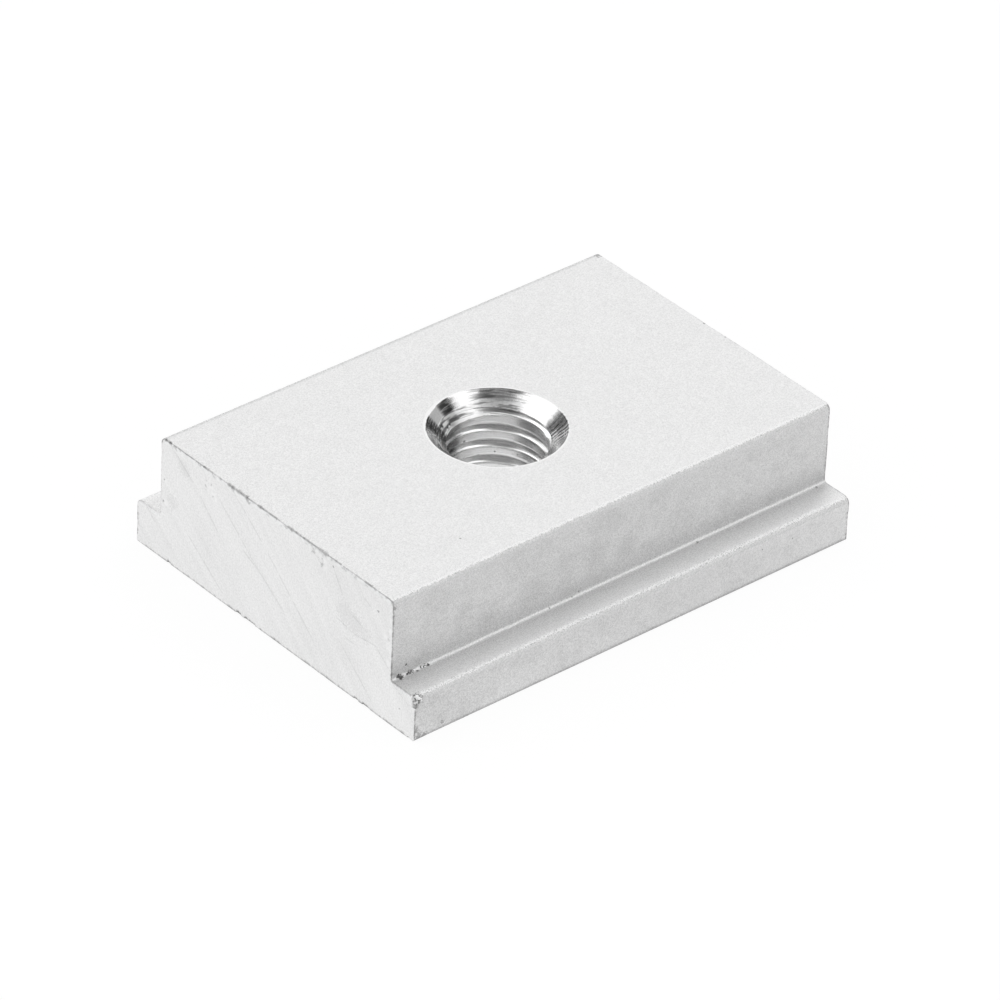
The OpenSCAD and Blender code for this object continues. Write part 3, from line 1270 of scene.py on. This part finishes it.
def heading_vector(heading, height=0):
    """The direction with a heading, turned from +X towards +Y, and a height, in degrees."""
    turn = math.radians(heading)
    rise = math.radians(height)
    level = math.cos(rise)
    return Vector((math.cos(turn) * level, math.sin(turn) * level, math.sin(rise)))


def make_camera():
    """The camera, at the photograph's viewing angle."""
    data = bpy.data.cameras.new("camera")
    data.lens = LENS
    data.sensor_width = SENSOR
    data.clip_start = 0.01
    data.clip_end = 10
    camera = add_object(data)
    forward = heading_vector(CAMERA_HEADING, -CAMERA_FALL)
    level_right = heading_vector(CAMERA_HEADING - 90)
    roll = math.radians(CAMERA_ROLL)
    right = level_right * math.cos(roll) + level_right.cross(forward) * math.sin(roll)
    place = Vector(CAMERA_TARGET) * MM - forward * CAMERA_DISTANCE * MM
    turn = Matrix((right, right.cross(forward), -forward)).transposed()
    camera.matrix_world = Matrix.Translation(place) @ turn.to_4x4()
    bpy.context.scene.camera = camera


# The studio's light as the nut sees it: the heading and the height above the floor of the
# middle of each round area, its radius, all in degrees, and its strength
STUDIO_BASE = 1.0
STUDIO_AREAS = {
    "left softbox": (134, 50, 30, 1.35),
    "right softbox": (-25, 62, 20, 1.45),
    "front softbox": (285, 46, 19, 1.25),
    "front fill": (228, 12, 16, 1.5),
    "gap on the left": (104, 14, 19.5, 0.1),
    "gap on the right": (-9, 16, 16, 0.45),
    "stand on the right": (-31, 30, 10, 0.1),
    "far corner": (12, 2, 11, 0.03),
    "camera": (228, 57, 23, 0.26),
    "ceiling": (0, 90, 22, 0.3),
}
AREA_SOFTNESS = 6


def make_light():
    """The world: a soft studio with brighter and darker areas round the nut."""
    world = bpy.data.worlds.new("studio")
    bpy.context.scene.world = world
    world.use_nodes = True
    tree = world.node_tree
    background = tree.nodes["Background"].inputs
    direction = work_out(tree, "TexCoord", "Generated")
    level = STUDIO_BASE
    for heading, height, radius, strength in STUDIO_AREAS.values():
        reach = direction.vector("DOT_PRODUCT", heading_vector(heading, height))
        border = math.cos(math.radians(radius + AREA_SOFTNESS / 2))
        inside = math.cos(math.radians(radius - AREA_SOFTNESS / 2))
        level = reach.fade(border, inside).between(level, strength)
    to_camera = work_out(tree, "LightPath", "Is Camera Ray")
    feed(background["Strength"], to_camera.between(level, 1))
    feed(background["Color"], (1, 1, 1, 1))


# The floor is a lit sheet, white in the picture. The nut sees it paler on its left than
# on its right, where the light falls off.
FLOOR_COLOUR = 0.95
FLOOR_SIZE = 4
# Just clear of the nut's underside, in millimetres
FLOOR_LEVEL = -0.02
GLOW_LEFT = 1.0
GLOW_RIGHT = 0.66
GLOW_HEADING = 138
GLOW_REACH = (-18, 8)
GLOW_FAR = 0.05
GLOW_FAR_REACH = (0, 20)
# How bright its own light is to the camera, and how much of what the camera and the metal
# see of the sheet is its own light
PICTURE_WHITE = 1.03
GLOW_TO_CAMERA = 0.88
GLOW_TO_METAL = 0.85


def make_floor():
    """A pale lit floor that is white in the picture and keeps a soft shadow of the nut."""
    bpy.ops.mesh.primitive_plane_add(size=FLOOR_SIZE)
    floor = bpy.context.object
    floor.name = "floor"
    floor.location.z = FLOOR_LEVEL * MM
    material = bpy.data.materials.new("floor")
    material.use_nodes = True
    tree = material.node_tree
    shader = tree.nodes["Principled BSDF"]
    feed(shader.inputs["Base Color"], (FLOOR_COLOUR, FLOOR_COLOUR, FLOOR_COLOUR, 1))
    feed(shader.inputs["Roughness"], 0.9)
    feed(shader.inputs["Specular IOR Level"], 0)
    place = work_out(tree, "TexCoord", "Object")
    to_camera = work_out(tree, "LightPath", "Is Camera Ray")
    to_metal = work_out(tree, "LightPath", "Is Glossy Ray")
    left, far = [
        place.vector("DOT_PRODUCT", heading_vector(heading)).fade(start * MM, end * MM)
        for heading, (start, end) in ((GLOW_HEADING, GLOW_REACH), (0, GLOW_FAR_REACH))
    ]
    glow = far * GLOW_FAR + left.between(GLOW_RIGHT, GLOW_LEFT)
    strength = {"Strength": to_camera.between(glow, PICTURE_WHITE)}
    white = work_out(tree, "Emission", "Emission", strength)
    share = largest([to_camera * GLOW_TO_CAMERA, to_metal * GLOW_TO_METAL])
    mix = {"Fac": share, 1: Value(tree, shader.outputs["BSDF"]), 2: white}
    lit = work_out(tree, "MixShader", "Shader", mix)
    # The sheet isn't seen from below, so that the nut's underside can be looked at
    behind = work_out(tree, "NewGeometry", "Backfacing")
    clear = work_out(tree, "BsdfTransparent", "BSDF")
    sheet = work_out(tree, "MixShader", "Shader", {"Fac": behind, 1: lit, 2: clear})
    feed(tree.nodes["Material Output"].inputs["Surface"], sheet)
    floor.data.materials.append(material)


bpy.context.scene.view_settings.view_transform = "Standard"
make_camera()
make_floor()
make_light()
make_nut()
